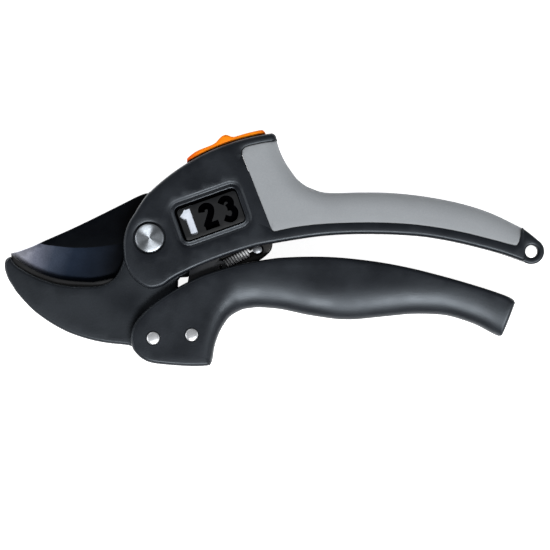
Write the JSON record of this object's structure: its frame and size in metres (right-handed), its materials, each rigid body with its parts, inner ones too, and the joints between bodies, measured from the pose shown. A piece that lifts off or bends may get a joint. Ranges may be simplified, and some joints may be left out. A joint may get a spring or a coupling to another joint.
{
  "type": "pruning shears",
  "caption": "Three-step anvil pruning shears: hooked housing with blade and soft grip, trough jaw with anvil, lower handle, ratchet link, sliding lock and step window.",
  "frame": {"origin": "on the axis of the main pivot, in the plane that the shears rest on, at the outer face of the pivot nut", "axes": "+X from the pivot towards the handle ends, +Y towards the upper handle, +Z is the thickness, pointing up to the side with the step window"},
  "size_m": [0.2057, 0.0898, 0.0212],
  "materials": {
    "housing": "fine-grained glass-filled nylon, near black",
    "grip": "soft-touch grey elastomer, satin",
    "number_plate": "dark grey, satin, figures cut through",
    "indicator": "white",
    "blade": "low-friction dark coating on hardened steel, polished ground edge",
    "steel": "turned and zinc-plated steel",
    "bronze": "sintered bronze bush",
    "lock": "orange moulded plastic, satin gloss",
    "jaw": "black powder coat on die-cast aluminium",
    "anvil": "grey acetal",
    "handle": "fine-grained glass-filled nylon, near black",
    "link": "blue-black coated steel",
    "carrier": "black acetal",
    "spring": "spring steel wire"
  },
  "bodies": {
    "housing": {"front_shell": "housing", "rear_shell": "housing", "soft_grip": "grip", "number_plate": "number_plate", "blade": "blade", "pivot_bolt": "steel", "pivot_nut": "steel", "pivot_bush": "bronze", "blade_pin_1": "steel", "blade_pin_2": "steel", "shell_screw_1": "steel", "shell_screw_2": "steel", "shell_screw_3": "steel", "shell_screw_4": "steel", "lock_detent": "steel", "spring_carrier": "carrier", "carrier_pin": "steel", "spring_anchor": "steel", "step_spring": "spring"},
    "jaw": {"lower_jaw": "jaw", "anvil": "anvil", "anvil_screw": "steel", "tail_bush": "bronze"},
    "handle": {"lower_handle": "handle", "handle_rivet": "steel", "link_rivet": "steel"},
    "link": {"link_front": "link", "link_rear": "link", "link_spacer": "steel", "step_pin": "steel"},
    "lock": {"lock_button": "lock", "lock_latch": "steel"},
    "indicator": {"step_indicator": "indicator"}
  },
  "joints": [
    {"name": "jaw_open", "type": "hinge", "parent": "housing", "child": "jaw", "pos_m": [0, 0, 0.0104], "axis": [0, 0, 1], "range_deg": [0, 40], "deforming": ["step_spring"]},
    {"name": "handle_swing", "type": "hinge", "parent": "jaw", "child": "handle", "pos_m": [0.0014, -0.0381, 0.0104], "axis": [0, 0, 1], "range_deg": [-70, 0]},
    {"name": "link_swing", "type": "hinge", "parent": "handle", "child": "link", "pos_m": [0.01605, -0.03685, 0.0104], "axis": [0, 0, 1], "range_deg": [0, 61]},
    {"name": "lock_slide", "type": "hinge", "parent": "housing", "child": "lock", "pos_m": [0.0566, -0.0406, 0.0104], "axis": [0, 0, 1], "range_deg": [0, 4.5]},
    {"name": "step_change", "type": "slide", "parent": "housing", "child": "indicator", "axis": [0.9426, 0.3338, 0], "range_m": [0, 0.0158]}
  ],
  "couplings": [
    {"joint": "handle_swing", "follows": "jaw_open", "ratio": -1.73},
    {"joint": "link_swing", "follows": "jaw_open", "ratio": 1.51}
  ]
}
